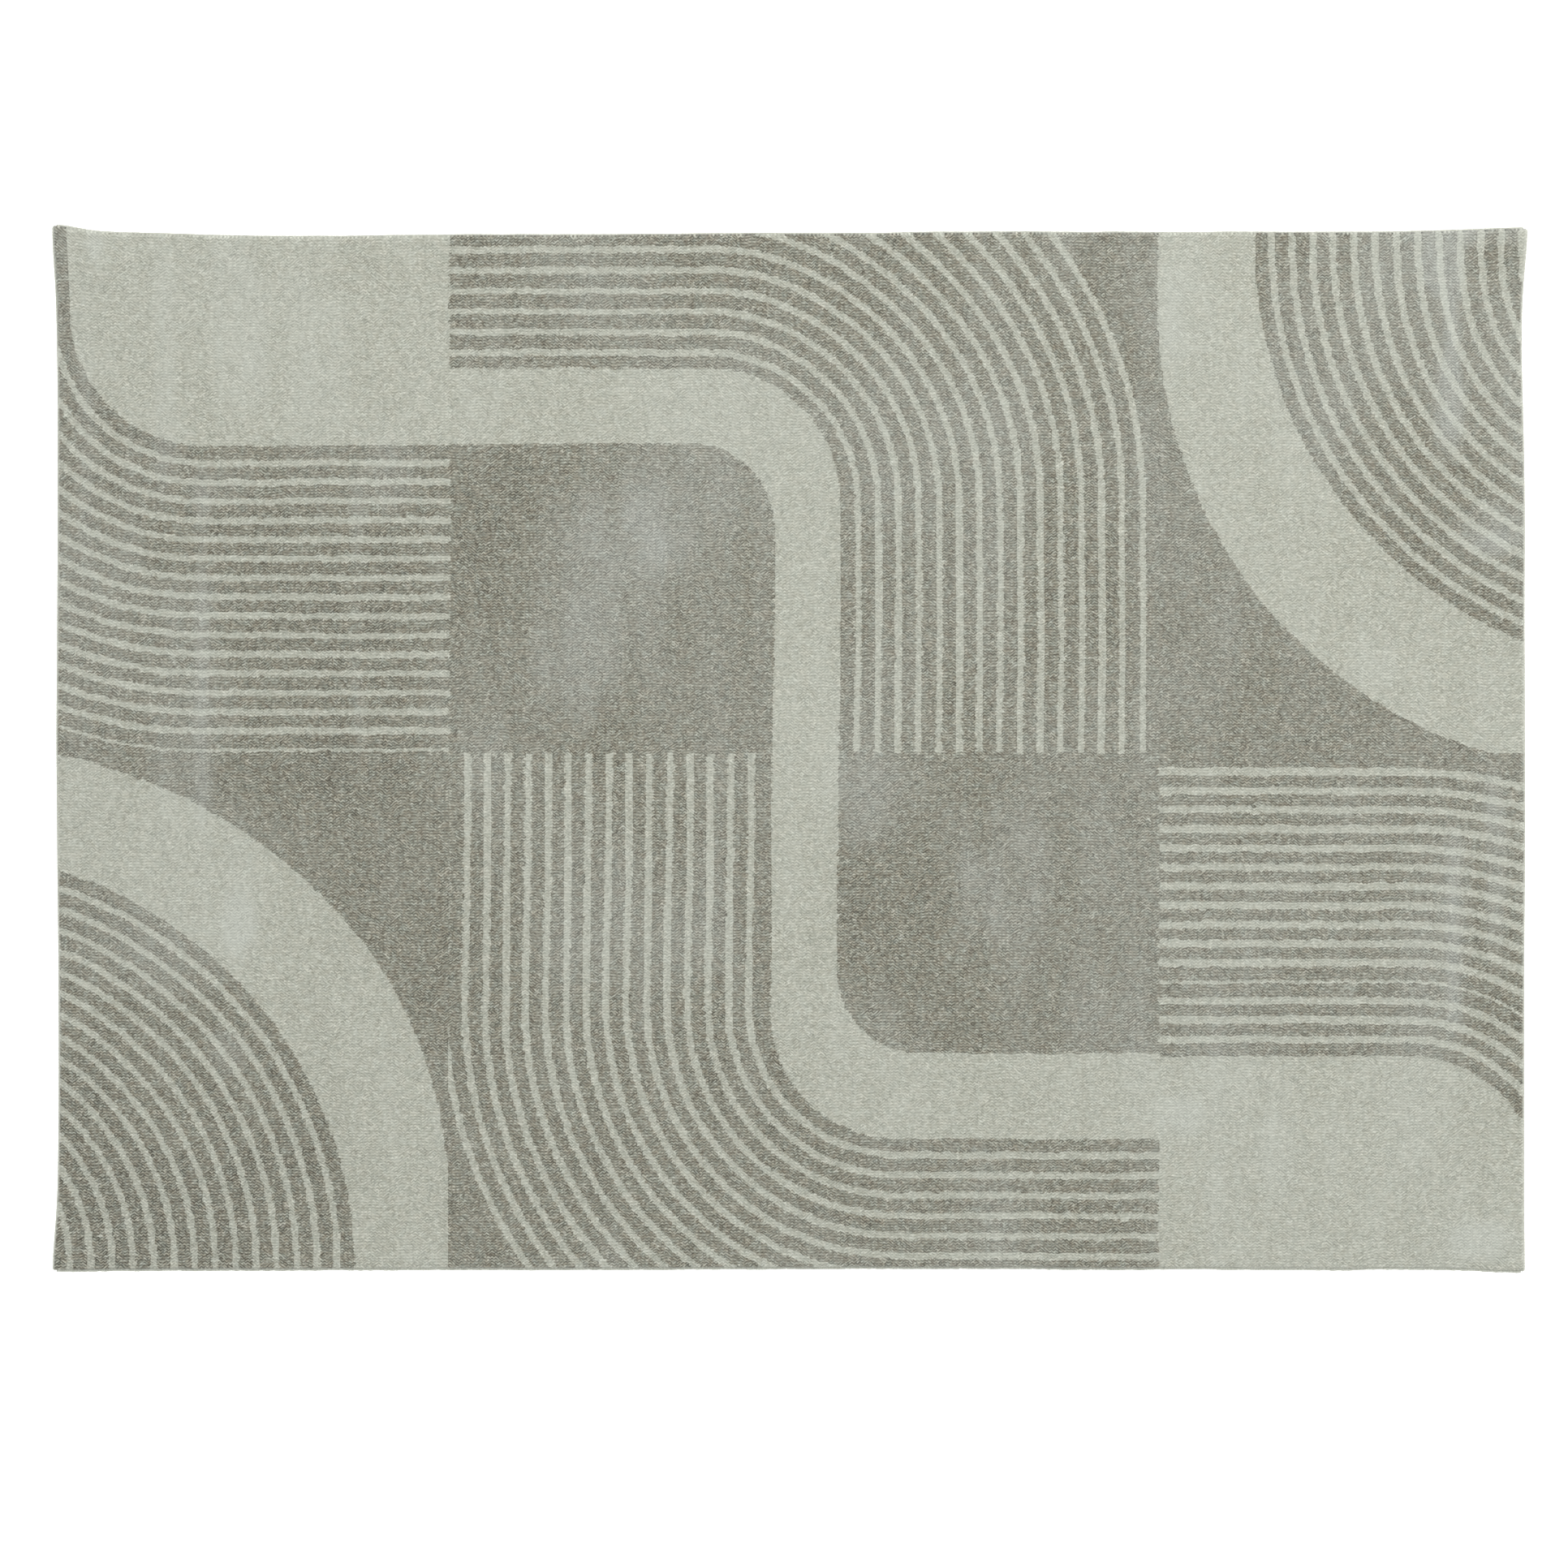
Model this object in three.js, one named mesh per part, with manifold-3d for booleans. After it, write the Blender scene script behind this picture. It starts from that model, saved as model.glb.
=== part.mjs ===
// A woven pile area rug, 1700 x 1200 mm, in sage and heather grey.
// Millimetres, +Z up, +X along the long side. The origin is at the centre of the underside.
//
// The rug is a jute ground weave with an anti-slip coat under it, a cut pile standing on it, an
// overlocked binding on each short side and a folded hem on each long side. The pile is a geometric
// pattern: two blocks joined by an S-shaped band, two quarter rings, two squares, and groups of
// parallel lines that bend through quarter circles. The lower half of the pattern is the upper half
// turned by half a turn about the pattern's centre, with small differences of its own.

import * as THREE from 'three';
import Module from 'manifold-3d';
import { mergeVertices } from 'three/addons/utils/BufferGeometryUtils.js';

const wasm = await Module();
wasm.setup();

// Whole rug
const LENGTH = 1700;
const WIDTH = 1200;
const PATTERN_SHIFT = 17; // the pattern's centre lies this far towards +X from the rug's centre

// Layers, from the floor up
const COAT_TOP = 0.8;
const WEAVE_TOP = 3;
const SAGE_TOP = 10.5;
const GREY_TOP = 11.5;

// Edges
const BINDING_WALL = 2;
const BINDING_LIP = 4;
const BINDING_TOP = 6.5;
const TAPE_WIDTH = 8;
const HEM_WALL = 2;
const HEM_LIP = 3;
const HEM_TOP = 5;
const HEM_TAPE_WIDTH = 22;

// Pile: the gap keeps neighbouring fields apart, and root ties join the lines of a group
const GAP = 0.3;
const TIE_WIDTH = 3;
const TIE_HEIGHT = 1.5;
const OVERLAP = 5; // how far an outline reaches into the neighbour that cuts it or joins it
const ARC_STEPS = 6;
const WIDE_ARC_STEPS = 10;

// Pattern dimensions shared by both halves, from the pattern's centre
const COLUMN = 409; // the centre column's half width
const BAND_HALF = 38.4; // half the width of the S band's upright stretch
const BAND_OUTER_RADIUS = 148;
const BAND_INNER_RADIUS = 95;
const BLOCK_CORNER = { x: -699, radius: 151 };
const CENTRE_BEND = { x: -110, y: 293 };
const THIN_LINE = 3.4; // width of the one line that is a single tuft wide
const FAN_CENTRE = 1; // radius left open at the fan's centre, which lies outside the rug

// What differs between the halves
const HALVES = {
  upper: {
    turn: 1,
    blockEdge: 356,
    bandOuterY: 444.5,
    sideLines: { first: 20.3, pitch: 22.12, width: 7.6, count: 15, thin: [] },
    centreLines: { firstRadius: 165.3, pitch: 23.7, width: 7.7, count: 15 },
    ringOuter: { x: 944, y: 513, rx: 535, ry: 535 },
    fan: { x: 1018, y: 589, ring: 497, firstRadius: 481.7, pitch: 23.6, width: 8, count: 13 },
  },
  lower: {
    turn: -1,
    blockEdge: 349,
    bandOuterY: 446.3,
    sideLines: { first: 19.6, pitch: 22.14, width: 8.8, count: 15, thin: [3] },
    centreLines: { firstRadius: 168.6, pitch: 23.5, width: 8.2, count: 15 },
    ringOuter: { x: 1011, y: 503.5, rx: 598.6, ry: 519.8 },
    fan: { x: 1004, y: 598.4, ring: 482.5, firstRadius: 466.6, pitch: 23.5, width: 7.6, count: 14 },
  },
};

const MATERIALS = {
  sage: new THREE.MeshStandardMaterial({ color: 0xbbbeb3, roughness: 0.95, metalness: 0 }),
  grey: new THREE.MeshStandardMaterial({ color: 0x95958a, roughness: 0.95, metalness: 0 }),
  jute: new THREE.MeshStandardMaterial({ color: 0xb8a27c, roughness: 0.9, metalness: 0 }),
  coat: new THREE.MeshStandardMaterial({ color: 0xd8d2c2, roughness: 0.8, metalness: 0 }),
  binding: new THREE.MeshStandardMaterial({ color: 0xb4b4a6, roughness: 0.85, metalness: 0 }),
};

const pileX = LENGTH / 2 - BINDING_LIP;
const pileY = WIDTH / 2 - HEM_LIP;
const FAR = 1500; // past every edge of the rug
const ABOVE = 2 * GREY_TOP; // over the top of the pile
const WELD_DISTANCE = 1e-4;

function point(x, y) {
  return new THREE.Vector2(x, y);
}

// Points on an ellipse arc, with angles in degrees
function arc(x, y, rx, ry, from, to, steps = ARC_STEPS) {
  return Array.from({ length: steps + 1 }, (_, i) => {
    const angle = THREE.MathUtils.degToRad(from + ((to - from) * i) / steps);
    return point(x + rx * Math.cos(angle), y + ry * Math.sin(angle));
  });
}

function solid(geometry) {
  geometry.deleteAttribute('normal');
  geometry.deleteAttribute('uv');
  const merged = mergeVertices(geometry, WELD_DISTANCE);
  const vertProperties = merged.attributes.position.array;
  const triVerts = new Uint32Array(merged.index.array);
  return new wasm.Manifold(new wasm.Mesh({ numProp: 3, vertProperties, triVerts }));
}

// An upright solid with the given outline. A turn of -1 turns the outline by half a turn.
function prism(points, bottom, top, turn = 1) {
  const outline = new THREE.Shape(points.map((p) => point(turn * p.x, turn * p.y)));
  const geometry = new THREE.ExtrudeGeometry(outline, { depth: top - bottom, bevelEnabled: false });
  geometry.translate(0, 0, bottom);
  return solid(geometry);
}

function box(x0, y0, x1, y1, bottom, top, turn = 1) {
  return prism([point(x0, y0), point(x1, y0), point(x1, y1), point(x0, y1)], bottom, top, turn);
}

function joined(solids) {
  return solids.reduce((whole, piece) => whole.add(piece));
}

function without(whole, cuts) {
  return cuts.reduce((rest, cut) => rest.subtract(cut), whole);
}

// Keeps what stands on the pile's area, inside the bindings and hems
function trimmed(piece) {
  const left = -pileX - PATTERN_SHIFT;
  return piece.intersect(box(left, -pileY, left + 2 * pileX, pileY, 0, ABOVE));
}

// Block with one rounded corner. Grow widens it past its own edge.
function blockOutline(half, grow) {
  const { x, radius } = BLOCK_CORNER;
  const y = half.blockEdge + radius;
  return [
    point(-COLUMN + grow, half.blockEdge - grow),
    point(-COLUMN + grow, FAR),
    point(x - radius - grow, FAR),
    ...arc(x, y, radius + grow, radius + grow, 180, 270),
  ];
}

// Half of the S band's outline, from its upright stretch to its end at the block and back
function bandHalf(half, grow) {
  const inner = BAND_INNER_RADIUS - grow;
  const outer = BAND_OUTER_RADIUS + grow;
  const innerX = -BAND_HALF - BAND_INNER_RADIUS;
  const innerY = half.blockEdge - BAND_INNER_RADIUS;
  const outerX = BAND_HALF - BAND_OUTER_RADIUS;
  const outerY = half.bandOuterY - BAND_OUTER_RADIUS;
  return [
    ...arc(outerX, outerY, outer, outer, 0, 90),
    point(-COLUMN - grow + GAP, half.bandOuterY + grow),
    point(-COLUMN - grow + GAP, half.blockEdge - grow),
    ...arc(innerX, innerY, inner, inner, 90, 0),
  ];
}

function bandOutline(grow) {
  const lower = bandHalf(HALVES.lower, grow).map((p) => point(-p.x, -p.y));
  return [...bandHalf(HALVES.upper, grow), ...lower];
}

// A line or a region between two radii that runs in from the block's side, bends down through a
// quarter circle and ends at the pattern's middle row
function bentStrip(inner, outer, start, end) {
  const { x, y } = CENTRE_BEND;
  return [
    ...arc(x, y, outer, outer, 0, 90),
    point(start, y + outer),
    point(start, y + inner),
    ...arc(x, y, inner, inner, 90, 0),
    point(x + inner, end),
    point(x + outer, end),
  ];
}

function centreLines(half, grow, end) {
  const { firstRadius, pitch, width, count } = half.centreLines;
  return Array.from({ length: count }, (_, i) => {
    const inner = firstRadius + pitch * i - grow;
    return bentStrip(inner, inner + width + 2 * grow, -COLUMN - OVERLAP, end);
  });
}

// The area of the centre lines, between the S band, the column's edge and the pile's edge
function centreArea() {
  const { x, y } = CENTRE_BEND;
  const inner = BAND_OUTER_RADIUS - OVERLAP;
  const start = -COLUMN + GAP;
  return [
    ...arc(x, y, inner, inner, 90, 0),
    point(x + inner, 0),
    point(COLUMN - GAP, 0),
    point(COLUMN - GAP, FAR),
    point(start, FAR),
    point(start, y + inner),
  ];
}

// Lines beside the block: straight from the column's edge, then round the block's corner
function sideLines(half, grow) {
  const { first, pitch, width, count, thin } = half.sideLines;
  const { x, radius } = BLOCK_CORNER;
  const y = half.blockEdge + radius;
  return Array.from({ length: count }, (_, i) => {
    const middle = radius + first + pitch * i;
    const reach = (thin.includes(i) ? THIN_LINE : width) / 2 + grow;
    const inner = middle - reach;
    const outer = middle + reach;
    return [
      ...arc(x, y, outer, outer, 180, 270),
      point(-COLUMN + grow, y - outer),
      point(-COLUMN + grow, y - inner),
      ...arc(x, y, inner, inner, 270, 180),
    ];
  });
}

// Ring outline between the outer ellipse arc and the inner circle arc, open towards the corner
function ringOutline(half) {
  const { x, y, rx, ry } = half.ringOuter;
  const inner = half.fan.ring;
  return [
    point(x - rx, FAR),
    ...arc(x, y, rx, ry, 180, 270, WIDE_ARC_STEPS),
    point(FAR, y - ry),
    point(FAR, half.fan.y - inner),
    ...arc(half.fan.x, half.fan.y, inner, inner, 270, 180, WIDE_ARC_STEPS),
    point(half.fan.x - inner, FAR),
  ];
}

// Everything inside the ring's outer edge, out to the rug's corner
function ringArea(half, grow) {
  const { x, y, rx, ry } = half.ringOuter;
  return [
    point(x - rx - grow, FAR),
    ...arc(x, y, rx + grow, ry + grow, 180, 270, WIDE_ARC_STEPS),
    point(FAR, y - ry - grow),
    point(FAR, FAR),
  ];
}

function fanArc(half, inner, outer) {
  const { x, y } = half.fan;
  return [
    point(x - outer, FAR),
    ...arc(x, y, outer, outer, 180, 270, WIDE_ARC_STEPS),
    ...arc(x, y, inner, inner, 270, 180, WIDE_ARC_STEPS),
    point(x - inner, FAR),
  ];
}

function fanLines(half, grow) {
  const { firstRadius, pitch, width, count } = half.fan;
  return Array.from({ length: count }, (_, i) => {
    const outer = firstRadius - pitch * i + grow;
    return fanArc(half, outer - width - 2 * grow, outer);
  });
}

function prisms(outlines, bottom, top, turn) {
  return outlines.map((points) => prism(points, bottom, top, turn));
}

// Root tie along the long side's edge: dead yarn that joins the lines ending there
function longSideTie(half, x0, x1, grow, bottom) {
  const y = pileY - TIE_WIDTH - grow;
  return box(x0, y, x1, FAR, bottom, bottom + TIE_HEIGHT + grow, half.turn);
}

// Root tie along the short side's edge. The turned half meets the other short side there.
function shortSideTie(half, grow) {
  const top = WEAVE_TOP + TIE_HEIGHT + grow;
  const inner = TIE_WIDTH + grow - pileX - half.turn * PATTERN_SHIFT;
  return box(-FAR, GAP, inner, half.blockEdge + BLOCK_CORNER.radius, WEAVE_TOP, top, half.turn);
}

// Sage block with the centre lines that leave it and the tie that joins the rest of them
function sageBlock(half) {
  const block = prism(blockOutline(half, 0), WEAVE_TOP, SAGE_TOP, half.turn);
  const lines = prisms(centreLines(half, 0, GAP), WEAVE_TOP, SAGE_TOP, half.turn);
  const tie = longSideTie(half, -COLUMN - OVERLAP, COLUMN - TIE_WIDTH, 0, WEAVE_TOP);
  return trimmed(joined([block, ...lines, tie]));
}

function sideLineGroup(half) {
  const lines = prisms(sideLines(half, 0), WEAVE_TOP, SAGE_TOP, half.turn);
  const block = prism(blockOutline(half, GAP), 0, ABOVE, half.turn);
  const tie = shortSideTie(half, 0).subtract(block);
  return trimmed(joined([...lines, tie]));
}

// Grey square with the grey between the side lines of its own half and the centre lines of the
// other half
function greySquare(half, other) {
  const inner = -BAND_HALF - GAP;
  const side = box(-FAR, GAP, -COLUMN, FAR, WEAVE_TOP, GREY_TOP, half.turn);
  const square = box(-COLUMN, 0, inner, half.blockEdge - GAP, WEAVE_TOP, GREY_TOP, half.turn);
  const centre = prism(centreArea(), WEAVE_TOP, GREY_TOP, other.turn);
  const cuts = [
    prism(blockOutline(half, GAP), 0, ABOVE, half.turn),
    prism(bandOutline(GAP), 0, ABOVE),
    ...prisms(sideLines(half, GAP), 0, ABOVE, half.turn),
    shortSideTie(half, GAP),
    ...prisms(centreLines(other, GAP, 0), 0, ABOVE, other.turn),
    longSideTie(other, -COLUMN - OVERLAP, COLUMN - TIE_WIDTH + GAP, GAP, WEAVE_TOP),
  ];
  return trimmed(without(joined([side, square, centre]), cuts));
}

function greyGround(half) {
  const quarter = box(COLUMN + GAP, GAP, FAR, FAR, WEAVE_TOP, GREY_TOP, half.turn);
  return trimmed(quarter.subtract(prism(ringArea(half, GAP), 0, ABOVE, half.turn)));
}

function sageRing(half) {
  const ring = prism(ringOutline(half), WEAVE_TOP, SAGE_TOP, half.turn);
  const ownQuarter = box(0, GAP, FAR, FAR, 0, ABOVE, half.turn);
  return trimmed(ring.intersect(ownQuarter));
}

function fanTie(half, grow) {
  const bottom = WEAVE_TOP + TIE_HEIGHT - grow;
  return longSideTie(half, half.fan.x - half.fan.firstRadius, FAR, grow, bottom);
}

function fanSage(half) {
  const bottom = WEAVE_TOP + TIE_HEIGHT;
  const lines = prisms(fanLines(half, 0), bottom, SAGE_TOP, half.turn);
  return trimmed(joined([...lines, fanTie(half, 0)]));
}

function fanGrey(half) {
  const area = prism(fanArc(half, FAN_CENTRE, half.fan.ring - GAP), WEAVE_TOP, GREY_TOP, half.turn);
  const floor = WEAVE_TOP + TIE_HEIGHT - GAP;
  const grooves = prisms(fanLines(half, GAP), floor, ABOVE, half.turn);
  return trimmed(without(area, [...grooves, fanTie(half, GAP)]));
}

// C-shaped section that wraps an edge of the ground weave, extruded along the edge
function edgeSection(wall, lip, top, tape) {
  return [
    point(0, 0),
    point(tape, 0),
    point(tape, COAT_TOP),
    point(wall, COAT_TOP),
    point(wall, WEAVE_TOP),
    point(lip, WEAVE_TOP),
    point(lip, top),
    point(0, top),
  ];
}

function binding(side) {
  const points = edgeSection(BINDING_WALL, BINDING_LIP, BINDING_TOP, TAPE_WIDTH);
  const shape = new THREE.Shape(points);
  const geometry = new THREE.ExtrudeGeometry(shape, { depth: WIDTH, bevelEnabled: false });
  geometry.rotateX(Math.PI / 2);
  geometry.translate(-LENGTH / 2, WIDTH / 2, 0);
  geometry.rotateZ(side > 0 ? Math.PI : 0);
  return geometry;
}

function hem(side) {
  const points = edgeSection(HEM_WALL, HEM_LIP, HEM_TOP, HEM_TAPE_WIDTH);
  const shape = new THREE.Shape(points);
  const depth = LENGTH - 2 * (TAPE_WIDTH + GAP);
  const geometry = new THREE.ExtrudeGeometry(shape, { depth, bevelEnabled: false });
  geometry.rotateX(Math.PI / 2);
  geometry.rotateZ(Math.PI / 2);
  geometry.translate(-depth / 2, -WIDTH / 2, 0);
  geometry.rotateZ(side > 0 ? Math.PI : 0);
  return geometry;
}

function slab(x, y, bottom, top) {
  const geometry = new THREE.BoxGeometry(2 * x, 2 * y, top - bottom);
  geometry.translate(0, 0, (top + bottom) / 2);
  return geometry;
}

function toGeometry(piece) {
  const { vertProperties, triVerts } = piece.getMesh();
  const geometry = new THREE.BufferGeometry();
  geometry.setAttribute('position', new THREE.BufferAttribute(vertProperties, 3));
  geometry.setIndex(new THREE.BufferAttribute(triVerts, 1));
  return geometry;
}

const rug = new THREE.Group();
const pile = new THREE.Group();
pile.position.x = PATTERN_SHIFT;
rug.add(pile);

function add(group, name, geometry, material) {
  const mesh = new THREE.Mesh(geometry, material);
  mesh.name = name;
  group.add(mesh);
}

const coatX = LENGTH / 2 - TAPE_WIDTH - GAP;
const coatY = WIDTH / 2 - HEM_TAPE_WIDTH - GAP;
const weaveX = LENGTH / 2 - BINDING_WALL - GAP;
const weaveY = WIDTH / 2 - HEM_WALL - GAP;
add(rug, 'anti_slip_back_coat', slab(coatX, coatY, 0, COAT_TOP), MATERIALS.coat);
add(rug, 'jute_ground_weave', slab(weaveX, weaveY, COAT_TOP, WEAVE_TOP), MATERIALS.jute);
add(rug, 'left_edge_binding', binding(-1), MATERIALS.binding);
add(rug, 'right_edge_binding', binding(1), MATERIALS.binding);
add(rug, 'lower_edge_hem', hem(-1), MATERIALS.binding);
add(rug, 'upper_edge_hem', hem(1), MATERIALS.binding);

const { upper, lower } = HALVES;
const band = trimmed(prism(bandOutline(0), WEAVE_TOP, SAGE_TOP));
const fields = [
  ['sage_upper_left_block', sageBlock(upper), 'sage'],
  ['sage_lower_right_block', sageBlock(lower), 'sage'],
  ['sage_s_band', band, 'sage'],
  ['sage_left_lines', sideLineGroup(upper), 'sage'],
  ['sage_right_lines', sideLineGroup(lower), 'sage'],
  ['grey_left_square_and_stripes', greySquare(upper, lower), 'grey'],
  ['grey_right_square_and_stripes', greySquare(lower, upper), 'grey'],
  ['grey_upper_right_ground', greyGround(upper), 'grey'],
  ['grey_lower_left_ground', greyGround(lower), 'grey'],
  ['sage_upper_right_ring', sageRing(upper), 'sage'],
  ['sage_lower_left_ring', sageRing(lower), 'sage'],
  ['sage_upper_right_fan_lines', fanSage(upper), 'sage'],
  ['sage_lower_left_fan_lines', fanSage(lower), 'sage'],
  ['grey_upper_right_fan', fanGrey(upper), 'grey'],
  ['grey_lower_left_fan', fanGrey(lower), 'grey'],
];
for (const [name, piece, colour] of fields) {
  add(pile, name, toGeometry(piece), MATERIALS[colour]);
}

export default rug;
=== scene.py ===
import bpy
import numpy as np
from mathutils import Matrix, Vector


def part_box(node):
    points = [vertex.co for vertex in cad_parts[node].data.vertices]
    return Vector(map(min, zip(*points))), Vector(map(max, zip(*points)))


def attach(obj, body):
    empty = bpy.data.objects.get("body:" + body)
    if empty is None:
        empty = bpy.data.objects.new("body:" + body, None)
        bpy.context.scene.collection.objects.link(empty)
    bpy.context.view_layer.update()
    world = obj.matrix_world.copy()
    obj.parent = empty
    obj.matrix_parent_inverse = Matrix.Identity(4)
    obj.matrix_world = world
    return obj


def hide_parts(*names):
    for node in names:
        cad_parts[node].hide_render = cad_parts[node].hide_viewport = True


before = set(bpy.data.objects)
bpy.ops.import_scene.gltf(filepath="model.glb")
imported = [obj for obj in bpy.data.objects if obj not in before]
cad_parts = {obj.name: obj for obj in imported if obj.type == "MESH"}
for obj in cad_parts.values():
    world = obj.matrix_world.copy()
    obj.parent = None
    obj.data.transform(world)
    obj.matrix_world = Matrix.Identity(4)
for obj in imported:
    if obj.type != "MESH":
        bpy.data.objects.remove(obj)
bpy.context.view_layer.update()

# The looks of a woven pile area rug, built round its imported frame. Sizes are in millimetres in the
# frame's own axes and become metres where a mesh is made. The pile is a lattice of tufts, cut into
# triangles. Each triangle joins the field of the pattern that it lies in, so the edges step finely.

MM = 0.001


def node_box(node):
    """A CAD node's lowest and highest corners, in millimetres."""
    low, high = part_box(node)
    return np.array(low) / MM, np.array(high) / MM


# Places and levels that the frame gives
BAND_LOW, BAND_HIGH = node_box("sage_s_band")
WEAVE_LOW, WEAVE_HIGH = node_box("jute_ground_weave")
COAT_LOW, COAT_HIGH = node_box("anti_slip_back_coat")
PILE_LEFT = node_box("grey_left_square_and_stripes")[0][0]
PILE_TOP = node_box("sage_upper_left_block")[1][1]
PILE_RIGHT = -PILE_LEFT
HALF_LENGTH = -node_box("left_edge_binding")[0][0]
HALF_WIDTH = node_box("upper_edge_hem")[1][1]
PATTERN_X = (BAND_LOW[0] + BAND_HIGH[0]) / 2
SAGE_TOP = BAND_HIGH[2]
GREY_TOP = node_box("grey_upper_right_ground")[1][2]
WEAVE_TOP = WEAVE_HIGH[2]

# Pattern, from its centre: as the frame was cut, with a few lines and edges placed more finely
BAND_HALF = 38.4  # half the width of the S band's upright
BAND_OUTER_RADIUS = 148
BAND_INNER_RADIUS = 95
CORNER_X, CORNER_RADIUS = -699, 151
PATTERN_STRETCH = 1.002  # of the woven pattern across the rug
# Each half, with the lower one turned half a turn: where its columns end, its block and band, and
# its line groups. A ring is its centre and its two radii.
UPPER = {
    "column": 409.4,
    "side_column": -411.4,
    "block_edge": 355.5,
    "band_edges": (357, 444.5),
    "side": {"first": 20.3, "pitch": 22.12, "width": 7.6, "count": 16, "thin": 15},
    "bend": (-110, 293),
    "centre": {"first": 165.3, "pitch": 23.7, "width": 7.7, "count": 15},
    "ring": (944, 513, 535, 535),
    "fan": {"x": 1018, "y": 589, "ring": 497, "first": 481.7, "pitch": 23.6, "width": 8, "count": 13},
}
LOWER = {
    "column": 411.4,
    "side_column": -409.4,
    "block_edge": 351.1,
    "band_edges": (347.8, 446.3),
    "side": {"first": 19.6, "pitch": 22.14, "width": 8.8, "count": 15, "thin": 3},
    "bend": (-110, 293),
    "centre": {"first": 168.6, "pitch": 23.5, "width": 8.2, "count": 16},
    "ring": (1011, 505.5, 598.6, 519.8),
    "fan": {"x": 1004, "y": 598.4, "ring": 482.5, "first": 466.6, "pitch": 23.5, "width": 7.6, "count": 14},
}
THIN_LINE = 3.4  # a line one tuft wide
# Where the woven pattern strays from its ruled shape, as (x, y, spreads in x and y, shifts in x and y)
STRAYS = [
    (110, 570, 200, 130, -8.5, 0),
    (750, 561, 90, 90, 4.7, 0),
    (-880, -390, 75, 130, 0, 9),
    (-10, 200, 230, 190, 2.6, 0),
    (-200, -330, 320, 190, -3.2, 0),
]

# Patches where the nap lies another way, with a paler painted sheen or (below 0) deeper painted groove
# shade, as (x, y, spreads in x and y, strength)
NAP_SHEEN_PATCHES = [
    (-802, 585, 10, 16, 0.9),
    (-724, 440, 14, 150, 0.45),
    (-640, 500, 34, 110, 0.6),
    (-544, 470, 40, 130, 0.4),
    (-460, 330, 30, 60, 0.5),
    (-700, 250, 60, 50, -0.5),
    (-500, 560, 60, 30, -0.4),
    (-640, -200, 22, 40, 0.9),
    (-655, -350, 26, 34, 0.8),
    (755, 560, 22, 32, 1.2),
    (762, 400, 20, 60, 0.7),
    (810, 260, 45, 32, 1.0),
    (672, 100, 30, 30, 0.7),
    (450, 520, 40, 90, 0.6),
    (815, -115, 14, 120, 0.7),
    (450, -420, 30, 26, 0.8),
    (800, -565, 46, 24, 0.9),
    (560, -470, 22, 60, 0.5),
    (-190, 260, 80, 60, 0.6),
    (-250, 120, 60, 90, 0.4),
    (-350, 260, 50, 120, -0.35),
    (240, -130, 80, 90, 0.45),
    (90, -60, 60, 60, 0.4),
    (-720, -420, 60, 60, 0.4),
    (-560, -20, 120, 60, -0.4),
    (-720, -480, 230, 190, -0.9),
    (808, 603, 85, 22, 0.8),
    (720, 500, 190, 150, 0.25),
    (-130, -520, 260, 90, -0.35),
    (-560, 130, 130, 140, -0.35),
]

NAP_SHEEN_MIDDLE, NAP_SHEEN_RANGE = 0.25, (-0.6, 1.3)
NAP_SHEEN_WIDE, NAP_SHEEN_NARROW, NAP_SHEEN_STREAKS = 0.35, 0.2, 0.2  # how much each size of patch varies

# Tufts, with two lattice cells to a tuft each way
COLUMNS, ROWS = 380, 360
GROOVE = 1.5  # depth between ridges of tufts
HEIGHT_JITTER = 0.25
PLACE_JITTER = 0.09  # of a tuft
SWAY = 0.34  # how far the rows sway, in rows
LEAN, LEAN_SPREAD = 0.8, 0.5  # how much the tufts lean, where 0 is straight rows
BETWEEN_RIDGE = 0.8  # height between two columns, of the ridge at a tuft's middle
RIDGE_JITTER, GROOVE_JITTER = 0.45, 0.16  # how uneven the ridges and the grooves are
EDGE_WOBBLE, EDGE_JITTER = 0.1, 0.16  # how far a field's edge strays, in tufts
TUFT_PULL = 0.3  # how much a field's edge keeps to whole tufts

UPPER_NAMES = {
    "block": "sage_upper_left_block",
    "centre_lines": "sage_upper_centre_lines",
    "side_lines": "sage_left_lines",
    "square": "grey_left_square",
    "side_stripes": "grey_left_stripes",
    "centre_stripes": "grey_upper_centre_stripes",
    "ground": "grey_upper_right_ground",
    "ring": "sage_upper_right_ring",
    "fan_lines": "sage_upper_right_fan_lines",
    "fan_stripes": "grey_upper_right_fan",
}
LOWER_NAMES = {
    "block": "sage_lower_right_block",
    "centre_lines": "sage_lower_centre_lines",
    "side_lines": "sage_right_lines",
    "square": "grey_right_square",
    "side_stripes": "grey_right_stripes",
    "centre_stripes": "grey_lower_centre_stripes",
    "ground": "grey_lower_left_ground",
    "ring": "sage_lower_left_ring",
    "fan_lines": "sage_lower_left_fan_lines",
    "fan_stripes": "grey_lower_left_fan",
}
FIELDS = ["sage_s_band", *UPPER_NAMES.values(), *LOWER_NAMES.values()]
IS_GREY = np.array([name.startswith("grey") for name in FIELDS])
BAND = FIELDS.index("sage_s_band")
UPPER_FIELDS = {key: FIELDS.index(name) for key, name in UPPER_NAMES.items()}
LOWER_FIELDS = {key: FIELDS.index(name) for key, name in LOWER_NAMES.items()}
# The CAD node that each piece stands for, where its name differs
STANDS_FOR = {
    "sage_upper_centre_lines": "sage_upper_left_block",
    "sage_lower_centre_lines": "sage_lower_right_block",
    "grey_left_square": "grey_left_square_and_stripes",
    "grey_left_stripes": "grey_left_square_and_stripes",
    "grey_lower_centre_stripes": "grey_left_square_and_stripes",
    "grey_right_square": "grey_right_square_and_stripes",
    "grey_right_stripes": "grey_right_square_and_stripes",
    "grey_upper_centre_stripes": "grey_right_square_and_stripes",
}


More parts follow.
